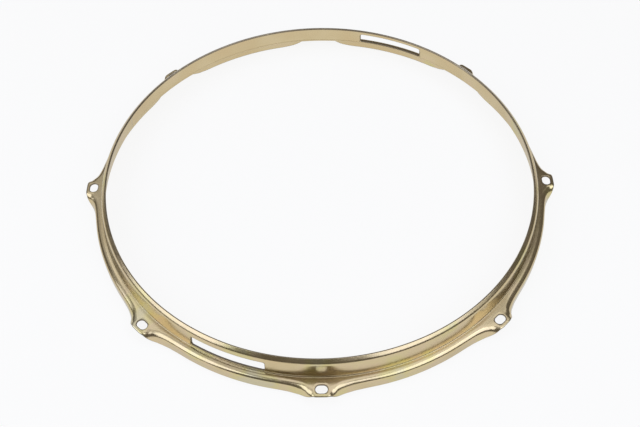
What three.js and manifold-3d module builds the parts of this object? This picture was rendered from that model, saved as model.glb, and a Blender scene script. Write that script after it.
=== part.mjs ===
// A pressed drum hoop. One strip of sheet metal is rolled to a lipped section, bent into a ring and butt
// welded. Its skirt opens out into ears for the tension rods, and its wall has two slots for the snare straps.
// Millimetres, +Z up. The origin is on the hoop's axis, in the plane of the skirt's lower edge.

import * as THREE from "three";
import { mergeVertices } from "three/addons/utils/BufferGeometryUtils.js";
import Module from "manifold-3d";

const wasm = await Module();
wasm.setup();

const { degToRad, lerp } = THREE.MathUtils;
const rightAngle = degToRad(90);
const fullTurn = degToRad(360);

// The circle of the tension rods, which every radius of the hoop follows
const rodCount = 8;
const rodCircleRadius = 190.5;

// The strip's section, with its folds measured on the middle of the sheet
const sheet = 1.6;
const ledgeHeight = 11.2; // top face of the ledge and the ears, above the skirt's lower edge
const skirtInset = 3.8; // from the rod circle in to the skirt
const wallFootInset = 10.1; // from the rod circle in to the foot of the wall
const wallHeight = 15.8; // from the ledge to the fold under the lip
const wallLean = degToRad(6); // towards the axis
const lipLength = 4.2;
const lipRise = degToRad(39.5); // above level, towards the axis
const lipEdgeChamfer = 0.4;

// How far each fold's curve reaches along the sheet, either side of its corner
const rimFoldReach = 1.5;
const footFoldReach = 4;
const skirtFoldReach = 1.9;
const foldSteps = { rim: 2, foot: 3, skirt: 2 };

// The ears
const rodHoleWidth = 7; // across the ear, towards the axis
const rodHoleLength = 9.1; // along the hoop
const rodHoleSegments = 6; // in a quarter turn
const earTipMargin = 6.1; // from the rod circle out to the ear's straight edge
const earFoldInset = 2; // from the rod circle in to the line where the skirt's fold runs out beside the ear
const earFlatHalf = 6; // half width of the level tongue round the rod hole
const earReach = 36.5; // from the middle of the ear to where the skirt hangs straight again

// Beside an ear: shares of the way from the level tongue to the straight skirt, and how far the skirt has
// turned down there
const turnShares = [
  [0, 0],
  [0.07, 0.16],
  [0.13, 0.4],
  [0.25, 0.62],
  [0.42, 0.78],
  [0.65, 0.9],
  [1, 1],
];
const spanSteps = 5; // facets between two ears, where the section stays the same

// The snare slots, half way between two ears, on opposite sides
const slotLength = 59;
const slotHeight = 9.6;
const slotSill = 1.6; // from the ledge's top face up to the slot
const slotCornerRadius = 1.8;
const slotCornerSegments = 2; // in an eighth of a turn
const slotSpans = [1, 5];

// The butt weld, half way between two ears
const weldWidth = 2;
const weldSpan = 3;

// Cutters run past the metal by this much
const overrun = 3;

const earPitch = fullTurn / rodCount;
const skirtRadius = rodCircleRadius - skirtInset;
const wallFootRadius = rodCircleRadius - wallFootInset;
const earFoldRadius = rodCircleRadius - earFoldInset;
const earTipRadius = rodCircleRadius + earTipMargin;
const ledgeMiddle = ledgeHeight - sheet / 2;
const weldHalfAngle = weldWidth / 2 / rodCircleRadius;

function spanMiddle(span) {
  return (span + 0.5) * earPitch;
}

// Points and directions along one fold, in the plane of radius and height
function fold(before, corner, after, reach, steps) {
  const start = before.clone().sub(corner).setLength(reach).add(corner);
  const end = after.clone().sub(corner).setLength(reach).add(corner);
  const curve = new THREE.QuadraticBezierCurve(start, corner, end);
  return Array.from({ length: steps + 1 }, (_, step) => ({
    at: curve.getPoint(step / steps),
    along: curve.getTangent(step / steps),
    half: sheet / 2,
  }));
}

// The strip's closed section where the skirt has turned down by the given share: first along the face that
// looks up and out, then back along the face that looks in and down
function section(turnShare, angleFromEar) {
  const foot = new THREE.Vector2(wallFootRadius, ledgeMiddle);
  const rim = new THREE.Vector2(-Math.sin(wallLean), Math.cos(wallLean))
    .multiplyScalar(wallHeight / Math.cos(wallLean))
    .add(foot);
  const lip = new THREE.Vector2(-Math.cos(lipRise), Math.sin(lipRise)).multiplyScalar(lipLength).add(rim);

  const straightTip = earTipRadius / Math.cos(angleFromEar);
  const turn = turnShare * rightAngle;
  const skirtFold = new THREE.Vector2(lerp(earFoldRadius, skirtRadius, turnShare), ledgeMiddle);
  const flap = lerp(straightTip - earFoldRadius, ledgeMiddle, turnShare);
  const hem = new THREE.Vector2(Math.cos(turn), -Math.sin(turn)).multiplyScalar(flap).add(skirtFold);

  const lipSlope = rim.clone().sub(lip).normalize();
  const hemSlope = hem.clone().sub(skirtFold).normalize();
  const path = [
    { at: lip, along: lipSlope, half: sheet / 2 - lipEdgeChamfer },
    { at: lip.clone().addScaledVector(lipSlope, lipEdgeChamfer), along: lipSlope, half: sheet / 2 },
    ...fold(lip, rim, foot, rimFoldReach, foldSteps.rim),
    ...fold(rim, foot, skirtFold, footFoldReach, foldSteps.foot),
    ...fold(foot, skirtFold, hem, skirtFoldReach, foldSteps.skirt),
    { at: hem, along: hemSlope, half: sheet / 2 },
  ];
  const faceUp = path.map(({ at, along, half }) => new THREE.Vector2(-along.y, along.x).setLength(half).add(at));
  const faceDown = path.map(({ at, along, half }) => new THREE.Vector2(along.y, -along.x).setLength(half).add(at));
  return [...faceUp, ...faceDown.reverse()];
}

// Where the sections stand round the ring, from one edge of the weld round to its other edge
function ringStations() {
  const start = spanMiddle(weldSpan) + weldHalfAngle;
  const end = spanMiddle(weldSpan) - weldHalfAngle + fullTurn;
  const reach = earReach / rodCircleRadius;
  const flat = earFlatHalf / rodCircleRadius;
  const stations = [
    { azimuth: start, turnShare: 1, angleFromEar: 0 },
    { azimuth: end, turnShare: 1, angleFromEar: 0 },
  ];
  const add = (azimuth, turnShare, angleFromEar) => {
    const turned = azimuth < start ? azimuth + fullTurn : azimuth;
    if (turned > start && turned < end) {
      stations.push({ azimuth: turned, turnShare, angleFromEar });
    }
  };
  for (let ear = 0; ear < rodCount; ear += 1) {
    const middle = ear * earPitch;
    add(middle, 0, 0);
    for (const [share, turnShare] of turnShares) {
      const angle = lerp(flat, reach, share);
      add(middle + angle, turnShare, angle);
      add(middle - angle, turnShare, angle);
    }
    for (let step = 1; step < spanSteps; step += 1) {
      add(middle + lerp(reach, earPitch - reach, step / spanSteps), 1, 0);
    }
  }
  return stations.sort((one, other) => one.azimuth - other.azimuth);
}

// A closed mesh through the sections at the given stations, with flat ends
function loft(stations) {
  const positions = [];
  const faces = [];
  let count = 0;
  for (const { azimuth, turnShare, angleFromEar } of stations) {
    const outline = section(turnShare, angleFromEar);
    count = outline.length;
    for (const point of outline) {
      positions.push(point.x * Math.cos(azimuth), point.x * Math.sin(azimuth), point.y);
    }
  }
  const quad = (a, b, c, d) => faces.push(a, b, c, a, c, d);
  for (let station = 0; station + 1 < stations.length; station += 1) {
    const here = station * count;
    const next = here + count;
    for (let point = 0; point < count; point += 1) {
      const after = (point + 1) % count;
      quad(here + point, here + after, next + after, next + point);
    }
  }
  const last = (stations.length - 1) * count;
  for (let point = 0; point + 1 < count / 2; point += 1) {
    const across = count - 1 - point;
    quad(point, across, across - 1, point + 1);
    quad(last + point, last + point + 1, last + across - 1, last + across);
  }
  const geometry = new THREE.BufferGeometry();
  geometry.setAttribute("position", new THREE.Float32BufferAttribute(positions, 3));
  geometry.setIndex(faces);
  return geometry;
}

// A long hole with round ends, through an ear
function rodHole(ear) {
  const endRadius = rodHoleWidth / 2;
  const straightHalf = (rodHoleLength - rodHoleWidth) / 2;
  const outline = new THREE.Shape();
  outline.absarc(0, straightHalf, endRadius, 0, Math.PI);
  outline.absarc(0, -straightHalf, endRadius, Math.PI, fullTurn);
  const height = sheet + 2 * overrun;
  const cutter = new THREE.ExtrudeGeometry(outline, {
    depth: height,
    bevelEnabled: false,
    curveSegments: rodHoleSegments,
  });
  cutter.translate(rodCircleRadius, 0, ledgeMiddle - height / 2);
  cutter.rotateZ(ear * earPitch);
  return cutter;
}

// A long slot with small round corners, punched straight out from the axis through the wall
function snareSlot(span) {
  const side = slotLength / 2;
  const sill = ledgeHeight + slotSill;
  const head = sill + slotHeight;
  const round = slotCornerRadius;
  const outline = new THREE.Shape();
  outline.absarc(side - round, sill + round, round, -rightAngle, 0);
  outline.absarc(side - round, head - round, round, 0, rightAngle);
  outline.absarc(round - side, head - round, round, rightAngle, 2 * rightAngle);
  outline.absarc(round - side, sill + round, round, 2 * rightAngle, 3 * rightAngle);
  const cutter = new THREE.ExtrudeGeometry(outline, {
    depth: wallFootRadius + footFoldReach + overrun,
    bevelEnabled: false,
    curveSegments: slotCornerSegments,
  });
  cutter.rotateX(rightAngle);
  cutter.rotateZ(spanMiddle(span) + rightAngle);
  return cutter;
}

function toSolid(geometry) {
  const bare = geometry.clone();
  bare.deleteAttribute("normal");
  bare.deleteAttribute("uv");
  const merged = mergeVertices(bare);
  return new wasm.Manifold(
    new wasm.Mesh({
      numProp: 3,
      vertProperties: new Float32Array(merged.attributes.position.array),
      triVerts: new Uint32Array(merged.index.array),
    }),
  );
}

function fromSolid(solid) {
  const { vertProperties, triVerts } = solid.getMesh();
  const geometry = new THREE.BufferGeometry();
  geometry.setAttribute("position", new THREE.BufferAttribute(vertProperties, 3));
  geometry.setIndex(new THREE.BufferAttribute(triVerts, 1));
  geometry.computeVertexNormals();
  return geometry;
}

function hoopStrip() {
  let solid = toSolid(loft(ringStations()));
  for (let ear = 0; ear < rodCount; ear += 1) {
    solid = solid.subtract(toSolid(rodHole(ear)));
  }
  for (const span of slotSpans) {
    solid = solid.subtract(toSolid(snareSlot(span)));
  }
  const brass = new THREE.MeshStandardMaterial({ color: 0xcbb58c, metalness: 1, roughness: 0.32 });
  const mesh = new THREE.Mesh(fromSolid(solid), brass);
  mesh.name = "hoop_strip";
  return mesh;
}

// The weld fills the gap between the strip's two ends, flush with the strip
function weldSeam() {
  const geometry = loft([
    { azimuth: spanMiddle(weldSpan) - weldHalfAngle, turnShare: 1, angleFromEar: 0 },
    { azimuth: spanMiddle(weldSpan) + weldHalfAngle, turnShare: 1, angleFromEar: 0 },
  ]);
  const filler = new THREE.MeshStandardMaterial({ color: 0xc0a97f, metalness: 1, roughness: 0.42 });
  geometry.computeVertexNormals();
  const mesh = new THREE.Mesh(geometry, filler);
  mesh.name = "weld_seam";
  return mesh;
}

const drumHoop = new THREE.Group();
drumHoop.add(hoopStrip(), weldSeam());

export default drumHoop;
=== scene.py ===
# A pressed brass drum hoop on a white studio floor, lip upwards.
# The strip is punched flat, rolled to its section and bent round into a ring, as the real one is made.

from functools import cache
from math import asin, atan2, cos, floor, radians, sin, tan

import bmesh
import bpy
from mathutils import Euler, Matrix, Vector


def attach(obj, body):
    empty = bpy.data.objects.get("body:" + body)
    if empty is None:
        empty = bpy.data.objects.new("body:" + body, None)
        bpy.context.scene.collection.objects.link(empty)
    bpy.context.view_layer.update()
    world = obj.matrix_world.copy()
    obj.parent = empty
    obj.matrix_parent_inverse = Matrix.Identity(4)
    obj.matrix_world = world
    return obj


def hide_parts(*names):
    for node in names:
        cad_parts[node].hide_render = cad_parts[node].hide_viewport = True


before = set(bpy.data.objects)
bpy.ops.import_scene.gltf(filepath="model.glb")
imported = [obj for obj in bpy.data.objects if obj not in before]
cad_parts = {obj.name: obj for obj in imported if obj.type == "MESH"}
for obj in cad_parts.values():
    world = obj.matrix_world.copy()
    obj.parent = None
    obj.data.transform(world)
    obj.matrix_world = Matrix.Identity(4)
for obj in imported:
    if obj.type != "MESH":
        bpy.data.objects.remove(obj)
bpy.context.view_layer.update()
print("frame loaded:", ", ".join(sorted(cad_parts)))

scene = bpy.context.scene
millimetre = 0.001
rightAngle = 90


def mix(one, other, share):
    return one + (other - one) * share


# The strip's section, in millimetres and degrees, on the middle of the sheet

strip = {
    "sheet": 1.6,
    "ledgeTop": 11.2,
    "wallFootRadius": 180.4,
    "wallHeight": 15.8,
    "wallLean": 6,
    "lipLength": 4.12,
    "lipRise": 39.5,
    "lipStart": 27.0,  # cut faces above this height are the lip's trimmed edge
    "rimReach": 1.5,  # how far each fold's curve reaches from its corner
    "footReach": 1.3,
    "beadAbove": 0.6,  # a fine bead runs round the wall, this far above the fold at its foot
    "beadHalf": 0.45,
    "beadHeight": 0.2,
    "edgeRadius": 0.5,  # of every cut edge
    "edgeSteps": 2,
    "edgeRows": (0.7, 1.3),  # where the rows nearest a cut edge run
    "sharpAngle": 50,
}

# Rows across the strip in each of its bands
rowsIn = {
    "lip": 3,
    "rimFold": 8,
    "wallHead": 3,
    "slotBand": 8,
    "bead": 6,
    "footFold": 8,
    "ledge": 5,
    "skirtFold": 14,
    "flap": 4,
    "tip": 3,
}

ears = {
    "count": 8,
    "rodCircle": 190.5,
    "tipDroop": 0.45,  # the punched edge of the tongue is drawn down a little
    "tipDroopLength": 1.6,
    "sideStart": 5.4,  # columns stand close together from here
    "sideShare": 0.45,  # to this share of the reach
    "reach": 36.5,  # from the middle of the ear to where the skirt hangs straight
    "holeWidth": 6.6,
    "holeLength": 9.0,
    "holeRound": 0.999,  # share of half the width, a little short of a half circle
    "holeSteps": 8,
    "holeMargin": (0.95, 0.6),  # least space from the hole to the grid round it, along and across the strip
}

# Going sideways from the middle of an ear: the distance, how far the flap has turned down there, the radius
# at which it folds, the radius its edge would have if it were level, and how far the fold's curve reaches in
# and out
earSides = [
    (0.0, 0, 191.0, 196.35, 3.0, 3.0),
    (4.0, 0, 191.0, 196.35, 3.0, 3.0),
    (5.6, 0, 191.0, 196.05, 3.0, 3.0),
    (7.0, 12, 191.0, 195.8, 3.0, 3.1),
    (8.5, 33, 191.0, 195.95, 3.2, 3.2),
    (10.2, 53, 190.9, 196.3, 3.7, 3.6),
    (12.5, 70, 190.0, 197.0, 4.2, 4.4),
    (15.5, 79, 188.9, 197.25, 4.4, 4.4),
    (20.0, 84, 187.85, 197.2, 4.4, 3.8),
    (26.0, 88, 187.1, 197.1, 4.4, 3.2),
    (36.5, 90, 186.7, 197.05, 4.4, 3.0),
]

slots = {
    "spans": (1, 5),
    "length": 59.0,
    "sill": 13.1,  # heights on the middle of the sheet
    "head": 22.4,
    "cornerRadius": 1.8,
    "cornerSteps": 6,
    "sideCuts": 20,
    "margin": 0.8,  # from the slot to the grid round it
}

weld = {
    "span": 3,
    "width": 2.0,
    "columns": 4,
}

# Where the columns round the strip stand in an ear's tongue, and how many there are in each other stretch
columnsIn = {
    "tongue": (0.0, 2.0, 4.0),
    "earSide": 14,
    "skirtSide": 10,
    "slotSide": 2,
    "slot": 14,
    "span": 16,
    "leastGap": 0.2,  # a column that comes nearer to the one before it is left out
}

earPitch = radians(360) / ears["count"]
weldHalfTurn = weld["width"] / 2 / ears["rodCircle"]


def spanMiddle(span):
    return (span + 0.5) * earPitch


def towards(start, end, reach):
    return start + (end - start).normalized() * reach


# A smooth curve through one column of a table
def curveThrough(rows, column, at):
    points = [(row[0], row[column]) for row in rows]
    at = min(max(at, points[0][0]), points[-1][0])
    rises = [(after[1] - before[1]) / (after[0] - before[0]) for before, after in zip(points, points[1:])]
    slopes = [0.0]
    for first, second in zip(rises, rises[1:]):
        slopes.append(2 * first * second / (first + second) if first * second > 0 else 0.0)
    slopes.append(0.0)
    index = max(n for n in range(len(rises)) if points[n][0] <= at)
    (x0, y0), (x1, y1) = points[index], points[index + 1]
    step = x1 - x0
    t = (at - x0) / step
    return (
        (2 * t**3 - 3 * t**2 + 1) * y0
        + (t**3 - 2 * t**2 + t) * step * slopes[index]
        + (3 * t**2 - 2 * t**3) * y1
        + (t**3 - t**2) * step * slopes[index + 1]
    )


# The section at a distance beside an ear, as straight bands and folds from the lip's edge to the hem. Each
# is its start, its corner or None, and its end
@cache
def sectionBands(beside):
    down, foldRadius, edgeRadius, reachIn, reachOut = [curveThrough(earSides, n, beside) for n in range(1, 6)]
    middle = strip["ledgeTop"] - strip["sheet"] / 2
    foot = Vector((strip["wallFootRadius"], middle))
    rim = foot + Vector((-tan(radians(strip["wallLean"])), 1)) * strip["wallHeight"]
    rise = radians(strip["lipRise"])
    lip = rim + Vector((-cos(rise), sin(rise))) * strip["lipLength"]
    fold = Vector((foldRadius, middle))
    slope = Vector((cos(radians(down)), -sin(radians(down))))
    hem = fold + slope * (edgeRadius - foldRadius)
    tip = hem - slope * ears["tipDroopLength"] / 2
    tipStart = hem - slope * ears["tipDroopLength"]
    hem = hem + Vector((slope.y, -slope.x)) * ears["tipDroop"] * (1 - down / rightAngle) ** 2
    rimStart = towards(rim, lip, strip["rimReach"])
    rimEnd = towards(rim, foot, strip["rimReach"])
    footStart = towards(foot, rim, strip["footReach"])
    footEnd = towards(foot, fold, strip["footReach"])
    foldStart = towards(fold, foot, reachIn)
    foldEnd = fold + slope * reachOut
    return [
        (lip, None, rimStart),
        (rimStart, rim, rimEnd),
        (rimEnd, None, footStart),
        (footStart, foot, footEnd),
        (footEnd, None, foldStart),
        (foldStart, fold, foldEnd),
        (foldEnd, None, tipStart),
        (tipStart, tip, hem),
    ]


# The flat strip is as wide as the section through the middle of an ear, unrolled
def bandWidth(start, corner, end):
    if corner is None:
        return (end - start).length
    return (corner - start).length + (end - corner).length


bandNames = ["lip", "rimFold", "wall", "footFold", "ledge", "skirtFold", "flap", "tip", "hem"]
bandStarts = [0.0]
for band in sectionBands(0):
    bandStarts.append(bandStarts[-1] + bandWidth(*band))
startOf = dict(zip(bandNames, bandStarts))
beadLine = startOf["footFold"] - strip["beadAbove"]


# Where a point of the flat strip goes when it is rolled: radius and height, and the face's outward direction
def rolled(across, beside):
    slack = 1e-9
    index = max(n for n in range(len(bandStarts) - 1) if n == 0 or bandStarts[n] <= across + slack)
    start, corner, end = sectionBands(beside)[index]
    share = (across - bandStarts[index]) / (bandStarts[index + 1] - bandStarts[index])
    if corner is None:
        point = mix(start, end, share)
        slope = end - start
    else:
        point = mix(mix(start, corner, share), mix(corner, end, share), share)
        slope = mix(corner - start, end - corner, share)
    outward = Vector((-slope.y, slope.x)).normalized()
    return point, outward


# The distance across the flat strip at which the straight skirt's section reaches a height
def acrossAt(height):
    halvings = 40
    low, high = startOf["rimFold"], startOf["ledge"]
    for _ in range(halvings):
        guess = (low + high) / 2
        if rolled(guess, ears["reach"])[0].y > height:
            low = guess
        else:
            high = guess
    return low


# Rolls and bends every point: x is the way round at the rod circle, y the way across the strip. Each point
# keeps the direction in which its side of the sheet faces
def bendIntoRing(mesh):
    facing = mesh.verts.layers.float_vector.new("facing")
    for vert in mesh.verts:
        azimuth = vert.co.x / ears["rodCircle"]
        fromEar = abs(azimuth / earPitch - floor(azimuth / earPitch + 0.5)) * earPitch
        beside = min(fromEar * ears["rodCircle"], ears["reach"])
        point, outward = rolled(vert.co.y, round(beside, 4))
        nearBead = 1 - abs(vert.co.y - beadLine) / strip["beadHalf"]
        if nearBead > 0:
            point = point + outward * strip["beadHeight"] * sin(radians(rightAngle) * nearBead) ** 2
        vert.co = Vector((point.x * cos(azimuth), point.x * sin(azimuth), point.y))
        vert[facing] = Vector((outward.x * cos(azimuth), outward.x * sin(azimuth), outward.y))


# The given number of steps from the start, without the end itself
def evenly(start, end, count):
    return [mix(start, end, n / count) for n in range(count)]


# The band of the wall that a slot cuts, with some space above and below
def slotRows():
    return acrossAt(slots["head"] + slots["margin"]), acrossAt(slots["sill"] - slots["margin"] / 2)


# The rows across the strip, close together where it folds and at its edges
def stripRows():
    nearest, second = strip["edgeRows"]
    slotHead, slotSill = slotRows()
    beadStart = beadLine - strip["beadHalf"]
    beadEnd = beadLine + strip["beadHalf"]
    lastRow = startOf["hem"] - nearest
    return [
        startOf["lip"],
        startOf["lip"] + nearest,
        *evenly(startOf["lip"] + second, startOf["rimFold"], rowsIn["lip"]),
        *evenly(startOf["rimFold"], startOf["wall"], rowsIn["rimFold"]),
        *evenly(startOf["wall"], slotHead, rowsIn["wallHead"]),
        *evenly(slotHead, slotSill, rowsIn["slotBand"]),
        slotSill,
        *evenly(beadStart, beadEnd, rowsIn["bead"]),
        beadEnd,
        *evenly(startOf["footFold"], startOf["ledge"], rowsIn["footFold"]),
        *evenly(startOf["ledge"], startOf["skirtFold"], rowsIn["ledge"]),
        *evenly(startOf["skirtFold"], startOf["flap"], rowsIn["skirtFold"]),
        *evenly(startOf["flap"], startOf["tip"], rowsIn["flap"]),
        *evenly(startOf["tip"], lastRow, rowsIn["tip"]),
        lastRow,
        startOf["hem"],
    ]


# Half the slot's length along the flat strip: the slot is punched straight through the bent wall
def slotHalfRound():
    return asin(slots["length"] / 2 / strip["wallFootRadius"]) * ears["rodCircle"]


# The columns round the strip from weld edge to weld edge, close together beside the ears
def stripColumns():
    start = spanMiddle(weld["span"]) * ears["rodCircle"] + weld["width"] / 2
    end = start + radians(360) * ears["rodCircle"] - weld["width"]
    pitch = earPitch * ears["rodCircle"]
    slotHalf = slotHalfRound() + slots["margin"]
    sideEnd = ears["reach"] * ears["sideShare"]
    offsets = [
        *columnsIn["tongue"],
        *evenly(ears["sideStart"], sideEnd, columnsIn["earSide"]),
        *evenly(sideEnd, ears["reach"], columnsIn["skirtSide"]),
    ]
    columns = {start, end}
    for ear in range(ears["count"] * 2):  # the strip ends in the second turn
        middle = ear * pitch
        for offset in offsets:
            columns.update((middle - offset, middle + offset))
        spanStart, spanEnd = middle + ears["reach"], middle + pitch - ears["reach"]
        if ear % ears["count"] in slots["spans"]:
            slotMiddle = middle + pitch / 2
            first, last = slotMiddle - slotHalf, slotMiddle + slotHalf
            columns.update(evenly(spanStart, first, columnsIn["slotSide"]))
            columns.update(evenly(first, last, columnsIn["slot"]))
            columns.update(evenly(last, spanEnd, columnsIn["slotSide"]))
        else:
            columns.update(evenly(spanStart, spanEnd, columnsIn["span"]))
    inside = sorted(x for x in columns if start <= x <= end)
    return [x for n, x in enumerate(inside) if n == 0 or x - inside[n - 1] > columnsIn["leastGap"]]


# A flat sheet from rows and columns, made by drawing one column of edges along the strip
def drawSheet(rows, columns):
    mesh = bmesh.new()
    column = [mesh.verts.new((columns[0], row, 0)) for row in rows]
    edges = [mesh.edges.new(pair) for pair in zip(column, column[1:])]
    for before, after in zip(columns, columns[1:]):
        drawn = bmesh.ops.extrude_edge_only(mesh, edges=edges)["geom"]
        verts = {item for item in drawn if isinstance(item, bmesh.types.BMVert)}
        bmesh.ops.translate(mesh, verts=list(verts), vec=(after - before, 0, 0))
        drawnEdges = [item for item in drawn if isinstance(item, bmesh.types.BMEdge)]
        edges = [edge for edge in drawnEdges if verts.issuperset(edge.verts)]
    return mesh


# The outline of a hole with round corners, drawn as a plate whose corners are bevelled
def holeOutline(hole):
    mergeWithin = 0.05
    plate = bmesh.new()
    bmesh.ops.create_grid(plate, x_segments=1, y_segments=1, size=0.5)
    bmesh.ops.scale(plate, verts=plate.verts, vec=(hole["length"], hole["width"], 1))
    bmesh.ops.bevel(
        plate,
        geom=list(plate.verts),
        offset=hole["cornerRadius"],
        offset_type="OFFSET",
        segments=hole["cornerSteps"],
        profile=0.5,
        affect="VERTICES",
        material=-1,
    )
    bmesh.ops.remove_doubles(plate, verts=plate.verts, dist=mergeWithin)
    if hole["sideCuts"]:
        longSides = sorted(plate.edges, key=lambda edge: edge.calc_length())[-2:]
        bmesh.ops.subdivide_edges(plate, edges=longSides, cuts=hole["sideCuts"])
        bmesh.ops.dissolve_faces(plate, faces=plate.faces)
    plate.faces.ensure_lookup_table()
    outline = [loop.vert.co + hole["middle"] for loop in plate.faces[0].loops]
    plate.free()
    return outline


# Opens the sheet's grid round a hole and fills between the opening and the hole's outline
def punchHole(mesh, hole):
    slack = 0.01
    middle = hole["middle"]
    halfLength = hole["length"] / 2 + hole["margin"] + slack
    top, bottom = hole["rows"]

    def isInside(part):
        return all(
            abs(vert.co.x - middle.x) < halfLength and top - slack < vert.co.y < bottom + slack
            for vert in part.verts
        )

    cut = [face for face in mesh.faces if isInside(face)]
    bmesh.ops.delete(mesh, geom=cut, context="FACES")
    opening = [edge for edge in mesh.edges if edge.is_boundary and isInside(edge)]
    verts = [mesh.verts.new(point) for point in holeOutline(hole)]
    outline = [mesh.edges.new(pair) for pair in zip(verts, verts[1:] + verts[:1])]
    bmesh.ops.triangle_fill(mesh, edges=opening + outline, use_beauty=True, normal=(0, 0, 1))


# Each piece's material slots, in order
rolledFace, cutFace, rimFace, lipFace = range(4)


# Gives the bent sheet its thickness, half to each side, and rounds its free edges
def thicken(mesh):
    facing = mesh.verts.layers.float_vector["facing"]
    for vert in mesh.verts:
        vert.co += vert[facing] * strip["sheet"] / 2
    whole = list(mesh.verts) + list(mesh.edges) + list(mesh.faces)
    drawn = bmesh.ops.extrude_face_region(mesh, geom=whole, use_keep_orig=True)["geom"]
    for vert in drawn:
        if isinstance(vert, bmesh.types.BMVert):
            vert.co -= vert[facing] * strip["sheet"]
    bmesh.ops.recalc_face_normals(mesh, faces=mesh.faces)
    mesh.normal_update()
    for face in mesh.faces:
        flatness = sum(abs(face.normal.dot(vert[facing])) for vert in face.verts) / len(face.verts)
        face.material_index = rolledFace
        if flatness < 0.5:  # it is 1 on the rolled faces and 0 on the cut ones
            face.material_index = lipFace if face.calc_center_median().z > strip["lipStart"] else cutFace
    mesh.verts.layers.float_vector.remove(facing)
    weldEdges = [spanMiddle(weld["span"]) - weldHalfTurn, spanMiddle(weld["span"]) + weldHalfTurn]
    slack = 1e-4

    def isAtWeld(vert):
        azimuth = atan2(vert.co.y, vert.co.x)
        return any(abs(azimuth - edge) < slack for edge in weldEdges)

    # Rims lie between a rolled face and a cut one. Those between the strip and the weld stay sharp
    rims = []
    for edge in mesh.edges:
        kinds = {face.material_index for face in edge.link_faces}
        if rolledFace in kinds and len(kinds) == 2 and not all(isAtWeld(vert) for vert in edge.verts):
            rims.append(edge)
    rounded = bmesh.ops.bevel(
        mesh,
        geom=rims,
        offset=strip["edgeRadius"],
        offset_type="OFFSET",
        segments=strip["edgeSteps"],
        profile=0.5,
        affect="EDGES",
        clamp_overlap=False,
        material=-1,
    )
    for face in rounded["faces"]:
        face.material_index = rimFace


def finishPiece(mesh, name, materials):
    bmesh.ops.scale(mesh, verts=mesh.verts, vec=(millimetre,) * 3)
    data = bpy.data.meshes.new(name)
    mesh.to_mesh(data)
    mesh.free()
    for material in materials:
        data.materials.append(material)
    data.shade_smooth()
    data.set_sharp_from_angle(angle=radians(strip["sharpAngle"]))
    piece = bpy.data.objects.new(name, data)
    scene.collection.objects.link(piece)
    return piece


# The flat strip starts at the weld, so what lies before the weld on the ring comes at the strip's far end
def stripTurn(count):
    return count if count > weld["span"] else count + ears["count"]


def punchRodHoles(mesh):
    pitch = earPitch * ears["rodCircle"]
    ledgeStartRadius = strip["wallFootRadius"] + strip["footReach"]
    holeMiddle = startOf["ledge"] + ears["rodCircle"] - ledgeStartRadius
    halfHole = ears["holeWidth"] / 2
    along, across = ears["holeMargin"]
    rows = stripRows()
    rowAbove = max(row for row in rows if row < holeMiddle - halfHole - across)
    rowBelow = min(row for row in rows if row > holeMiddle + halfHole + across)
    for ear in range(ears["count"]):
        punchHole(mesh, {
            "middle": Vector((stripTurn(ear) * pitch, holeMiddle, 0)),
            "length": ears["holeLength"],
            "width": ears["holeWidth"],
            "cornerRadius": halfHole * ears["holeRound"],
            "cornerSteps": ears["holeSteps"],
            "sideCuts": 0,
            "margin": along,
            "rows": (rowAbove, rowBelow),
        })


def punchSnareSlots(mesh):
    pitch = earPitch * ears["rodCircle"]
    head, sill = acrossAt(slots["head"]), acrossAt(slots["sill"])
    for span in slots["spans"]:
        punchHole(mesh, {
            "middle": Vector(((stripTurn(span) + 0.5) * pitch, (head + sill) / 2, 0)),
            "length": 2 * slotHalfRound(),
            "width": sill - head,
            "cornerRadius": slots["cornerRadius"],
            "cornerSteps": slots["cornerSteps"],
            "sideCuts": slots["sideCuts"],
            "margin": slots["margin"],
            "rows": slotRows(),
        })


def makeStrip(materials):
    mesh = drawSheet(stripRows(), stripColumns())
    print("flat strip:", len(mesh.faces), "faces")
    punchRodHoles(mesh)
    punchSnareSlots(mesh)
    print("punched:", len(mesh.faces), "faces")
    bendIntoRing(mesh)
    thicken(mesh)
    return finishPiece(mesh, "hoopStripRolled", materials)


# The weld fills the gap between the strip's ends with a short length of the same section
def makeWeld(materials):
    middle = spanMiddle(weld["span"]) * ears["rodCircle"]
    half = weld["width"] / 2
    columns = [*evenly(middle - half, middle + half, weld["columns"]), middle + half]
    mesh = drawSheet(stripRows(), columns)
    bendIntoRing(mesh)
    thicken(mesh)
    return finishPiece(mesh, "weldBead", materials)


# Bright brass with a thin passivated film: the film's tint drifts in patches, and fine rolling lines run
# round the strip. Scales are per metre

brass = {
    "tints": [  # along the film's slow noise
        (0.30, (0.585, 0.520, 0.335, 1)),
        (0.35, (0.620, 0.535, 0.265, 1)),
        (0.39, (0.630, 0.525, 0.300, 1)),
        (0.43, (0.632, 0.506, 0.316, 1)),
        (0.48, (0.625, 0.512, 0.305, 1)),
        (0.56, (0.605, 0.487, 0.280, 1)),
        (0.66, (0.600, 0.470, 0.265, 1)),
    ],
    "frontToBackShift": 0.45,  # painted shade: the tint drifts towards a darker, more orange tan from the front to the back
    "patchScale": 24.0,
    "smudgeScale": 55.2,
    "smudgeShare": 0.65,  # of the roughness: the rest comes from the lines
    "roughness": (0.16, 0.26),
    "coat": 0.3,
    "coatRoughness": 0.12,
    "grazing": 0.72,  # share of a perfect metal's brightness where the surface is seen nearly edge on
    "lineScale": 900.0,
    "lineLean": 0.6,  # the lines change slowly along this slope and at this rate
    "lineDrift": 0.02,
    "lineBump": 0.015,
    "grainScale": 1500.0,
    "grainBump": 0.004,
    "bumpDistance": 0.0002,
}

# Cut faces are duller and darker
cutBrass = dict(brass)
cutBrass.update({
    "tints": [
        (0.35, (0.240, 0.190, 0.130, 1)),
        (0.60, (0.320, 0.255, 0.180, 1)),
    ],
    "roughness": (0.40, 0.55),
    "coat": 0.1,
    "lineBump": 0.0,
    "grainBump": 0.1,
})
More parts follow.
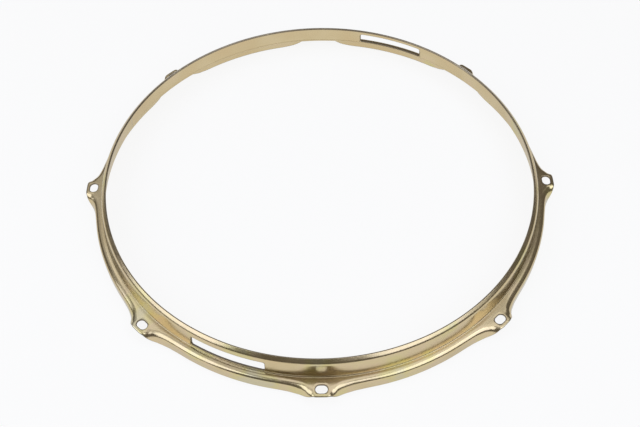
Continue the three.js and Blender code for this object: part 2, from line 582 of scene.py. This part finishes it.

# Painted shade: their rounded rims are darker still, for the dark lines along the cut edges
rimBrass = dict(cutBrass)
rimBrass.update({
    "tints": [
        (0.35, (0.190, 0.155, 0.102, 1)),
        (0.60, (0.270, 0.220, 0.148, 1)),
    ],
})

# The lip's trimmed edge is finer. Painted shade: it stays bright at the front and turns dark at the back,
# along the far lip
lipBrass = dict(cutBrass)
lipBrass.update({
    "tints": [
        (0.42, (0.560, 0.475, 0.320, 1)),
        (0.55, (0.270, 0.225, 0.160, 1)),
    ],
    "roughness": (0.30, 0.42),
})

weldMetal = dict(brass)
weldMetal.update({
    "tints": [
        (0.35, (0.560, 0.480, 0.320, 1)),
        (0.60, (0.620, 0.520, 0.350, 1)),
    ],
    "roughness": (0.30, 0.46),
    "lineBump": 0.0,
    "grainBump": 0.12,
})


def addNode(tree, kind, **settings):
    node = tree.nodes.new(kind)
    for name, value in settings.items():
        setattr(node, name, value)
    return node


def addMath(tree, operation, *inputs):
    node = addNode(tree, "ShaderNodeMath", operation=operation)
    for slot, value in zip(node.inputs, inputs):
        if isinstance(value, bpy.types.NodeSocket):
            tree.links.new(value, slot)
        else:
            slot.default_value = value
    return node.outputs[0]


def addNoise(tree, vector, scale, detail, roughness=0.5):
    noise = addNode(tree, "ShaderNodeTexNoise")
    noise.inputs["Scale"].default_value = scale
    noise.inputs["Detail"].default_value = detail
    noise.inputs["Roughness"].default_value = roughness
    tree.links.new(vector, noise.inputs["Vector"])
    return noise.outputs["Fac"]


# Spreads the values that a noise usually takes over a range
def addRange(tree, value, low, high):
    usual = (0.35, 0.65)
    node = addNode(tree, "ShaderNodeMapRange")
    for name, number in zip(("From Min", "From Max", "To Min", "To Max"), (*usual, low, high)):
        node.inputs[name].default_value = number
    tree.links.new(value, node.inputs["Value"])
    return node.outputs["Result"]


def addRamp(tree, value, stops):
    ramp = addNode(tree, "ShaderNodeValToRGB")
    while len(ramp.color_ramp.elements) < len(stops):
        ramp.color_ramp.elements.new(0.5)
    for element, (place, colour) in zip(ramp.color_ramp.elements, stops):
        element.position = place
        element.color = colour
    tree.links.new(value, ramp.inputs["Fac"])
    return ramp.outputs["Color"]


def rolledBrass(name, look):
    material = bpy.data.materials.new(name)
    material.use_nodes = True
    tree = material.node_tree
    shader = tree.nodes["Principled BSDF"]
    shader.inputs["Metallic"].default_value = 1
    shader.inputs["Specular Tint"].default_value = (look["grazing"],) * 3 + (1,)
    shader.inputs["Coat Weight"].default_value = look["coat"]
    shader.inputs["Coat Roughness"].default_value = look["coatRoughness"]

    def plus(one, other):
        return addMath(tree, "ADD", one, other)

    def times(one, other):
        return addMath(tree, "MULTIPLY", one, other)

    place = addNode(tree, "ShaderNodeTexCoord").outputs["Object"]
    parts = addNode(tree, "ShaderNodeSeparateXYZ")
    tree.links.new(place, parts.inputs[0])
    x, y, z = parts.outputs
    patches = addNoise(tree, place, look["patchScale"], detail=2.5)
    # The tint follows the film's patches, and painted shade shifts it along the ramp from the front to the
    # back
    tint = addRamp(tree, plus(patches, times(y, look["frontToBackShift"])), look["tints"])
    tree.links.new(tint, shader.inputs["Base Color"])

    # The lines read radius and height, which run across the strip, and a slow drift along it
    section = addNode(tree, "ShaderNodeCombineXYZ")
    radius = addMath(tree, "SQRT", plus(times(x, x), times(y, y)))
    along = times(plus(x, times(y, look["lineLean"])), look["lineDrift"])
    for slot, value in zip(section.inputs, (radius, z, along)):
        tree.links.new(value, slot)
    lines = addNoise(tree, section.outputs[0], look["lineScale"], detail=2, roughness=0.6)
    grain = addNoise(tree, place, look["grainScale"], detail=2, roughness=0.6)
    smudges = addNoise(tree, place, look["smudgeScale"], detail=3, roughness=0.6)

    dullness = plus(times(smudges, look["smudgeShare"]), times(lines, 1 - look["smudgeShare"]))
    tree.links.new(addRange(tree, dullness, *look["roughness"]), shader.inputs["Roughness"])

    bump = addNode(tree, "ShaderNodeBump")
    bump.inputs["Strength"].default_value = 1
    bump.inputs["Distance"].default_value = look["bumpDistance"]
    height = plus(times(lines, look["lineBump"]), times(grain, look["grainBump"]))
    tree.links.new(height, bump.inputs["Height"])
    tree.links.new(bump.outputs[0], shader.inputs["Normal"])
    return material


# The two pieces share the materials of their edges
edgeMaterials = [
    rolledBrass("cut brass", cutBrass),
    # the rims' material is painted shade: dark lines along every rounded cut edge
    rolledBrass("painted dark rims", rimBrass),
    rolledBrass("trimmed lip", lipBrass),
]
hoop = makeStrip([rolledBrass("rolled brass", brass), *edgeMaterials])
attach(hoop, "root")
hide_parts("hoop_strip")
bead = makeWeld([rolledBrass("brass weld", weldMetal), *edgeMaterials])
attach(bead, "root")
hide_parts("weld_seam")
print("hoop made")

# The camera stands in front and above, as in the photograph

view = {
    "place": (0.0064382, -0.4906666, 0.6014756),
    "turn": (37.85727, 0.95785, -0.44443),
    "lens": 51.242,
    "sensor": 36,
    "nearest": 0.01,
}

cameraData = bpy.data.cameras.new("camera")
cameraData.lens = view["lens"]
cameraData.sensor_width = view["sensor"]
cameraData.clip_start = view["nearest"]
camera = bpy.data.objects.new("camera", cameraData)
camera.location = view["place"]
camera.rotation_euler = Euler([radians(angle) for angle in view["turn"]])
scene.collection.objects.link(camera)
scene.camera = camera

# A white paper floor: it shows white to the camera and in reflections, and keeps a faint shadow

studio = {
    "floorSize": 3.0,
    "paper": 0.9,
    "paperRoughness": 0.9,
    "paperSheen": 0.1,
    "paperGlow": 0.88,  # how much of the floor's look is plain white rather than lit paper
    "sky": (0.15, 0.14, 0.13, 1),
    "overheadHeight": 1.5,
    "wattsPerLight": 4,  # for a square metre of soft box
}

# Soft boxes stand round the hoop and face it, with a gap at the camera. Angles in degrees, sizes in metres,
# and the light is the strength at which the box shows in a mirror
softBoxes = [
    {
        "name": "leftBox",
        "azimuth": 202,
        "height": 40,
        "away": 1.4,
        "size": (1.25, 1.15),
        "light": 1.3,
        "colour": (0.92, 0.98, 1.14),
    },
    {
        "name": "rightBox",
        "azimuth": 321,
        "height": 46,
        "away": 1.4,
        "size": (1.3, 1.0),
        "light": 1.32,
        "colour": (0.92, 0.98, 1.14),
    },
    {
        "name": "gapBox",
        "azimuth": 270,
        "height": 58,
        "away": 1.5,
        "size": (0.45, 0.35),
        "light": 0.42,
        "colour": (0.98, 0.98, 1.0),
    },
    {
        "name": "fillBox",
        "azimuth": 128,
        "height": 40,
        "away": 1.5,
        "size": (1.2, 0.7),
        "light": 0.3,
        "colour": (0.95, 1.0, 1.12),
    },
]

# Three more hang level overhead, each over a part of the floor and dimmer over the left
overheadBoxes = [
    {
        "name": "overheadBox",
        "over": (0.325, 0.22),
        "size": (1.25, 1.24),
        "light": 0.74,
        "colour": (0.95, 0.98, 1.08),
    },
    {
        "name": "backBox",
        "over": (-0.58, 0.74),
        "size": (0.56, 0.44),
        "light": 0.85,
        "colour": (0.95, 0.98, 1.08),
    },
    {
        "name": "dimBox",
        "over": (-0.59, 0.06),
        "size": (0.56, 0.9),
        "light": 0.42,
        "colour": (0.95, 0.98, 1.08),
    },
]


def whitePaper():
    paper = bpy.data.materials.new("white paper")
    paper.use_nodes = True
    tree = paper.node_tree
    lit = tree.nodes["Principled BSDF"]
    lit.inputs["Base Color"].default_value = (studio["paper"],) * 3 + (1,)
    lit.inputs["Roughness"].default_value = studio["paperRoughness"]
    lit.inputs["Specular IOR Level"].default_value = studio["paperSheen"]
    plain = addNode(tree, "ShaderNodeEmission")
    rays = addNode(tree, "ShaderNodeLightPath").outputs
    mirrored = addMath(tree, "MAXIMUM", rays["Is Glossy Ray"], rays["Is Transmission Ray"])
    seen = addMath(tree, "MAXIMUM", rays["Is Camera Ray"], mirrored)
    blend = addNode(tree, "ShaderNodeMixShader")
    tree.links.new(addMath(tree, "MULTIPLY", seen, studio["paperGlow"]), blend.inputs[0])
    tree.links.new(lit.outputs[0], blend.inputs[1])
    tree.links.new(plain.outputs[0], blend.inputs[2])
    tree.links.new(blend.outputs[0], tree.nodes["Material Output"].inputs["Surface"])
    return paper


def hangLamp(box, place, turn):
    lamp = bpy.data.lights.new(box["name"], "AREA")
    lamp.shape = "RECTANGLE"
    lamp.size, lamp.size_y = box["size"]
    lamp.energy = studio["wattsPerLight"] * box["light"] * box["size"][0] * box["size"][1]
    lamp.color = box["colour"]
    hung = bpy.data.objects.new(box["name"], lamp)
    hung.location = place
    hung.rotation_euler = turn
    scene.collection.objects.link(hung)


floorMesh = bmesh.new()
bmesh.ops.create_grid(floorMesh, x_segments=1, y_segments=1, size=studio["floorSize"])
floorData = bpy.data.meshes.new("paperFloor")
floorMesh.to_mesh(floorData)
floorMesh.free()
floorData.materials.append(whitePaper())
paperFloor = bpy.data.objects.new("paperFloor", floorData)
scene.collection.objects.link(paperFloor)

for box in softBoxes:
    azimuth, height = radians(box["azimuth"]), radians(box["height"])
    place = Vector((cos(height) * cos(azimuth), cos(height) * sin(azimuth), sin(height))) * box["away"]
    hangLamp(box, place, (-place).to_track_quat("-Z", "Y").to_euler())
for box in overheadBoxes:
    hangLamp(box, (*box["over"], studio["overheadHeight"]), (0, 0, 0))

world = bpy.data.worlds.new("studio")
scene.world = world
world.use_nodes = True
world.node_tree.nodes["Background"].inputs["Color"].default_value = studio["sky"]
print("studio set")

scene.view_settings.view_transform = "Standard"
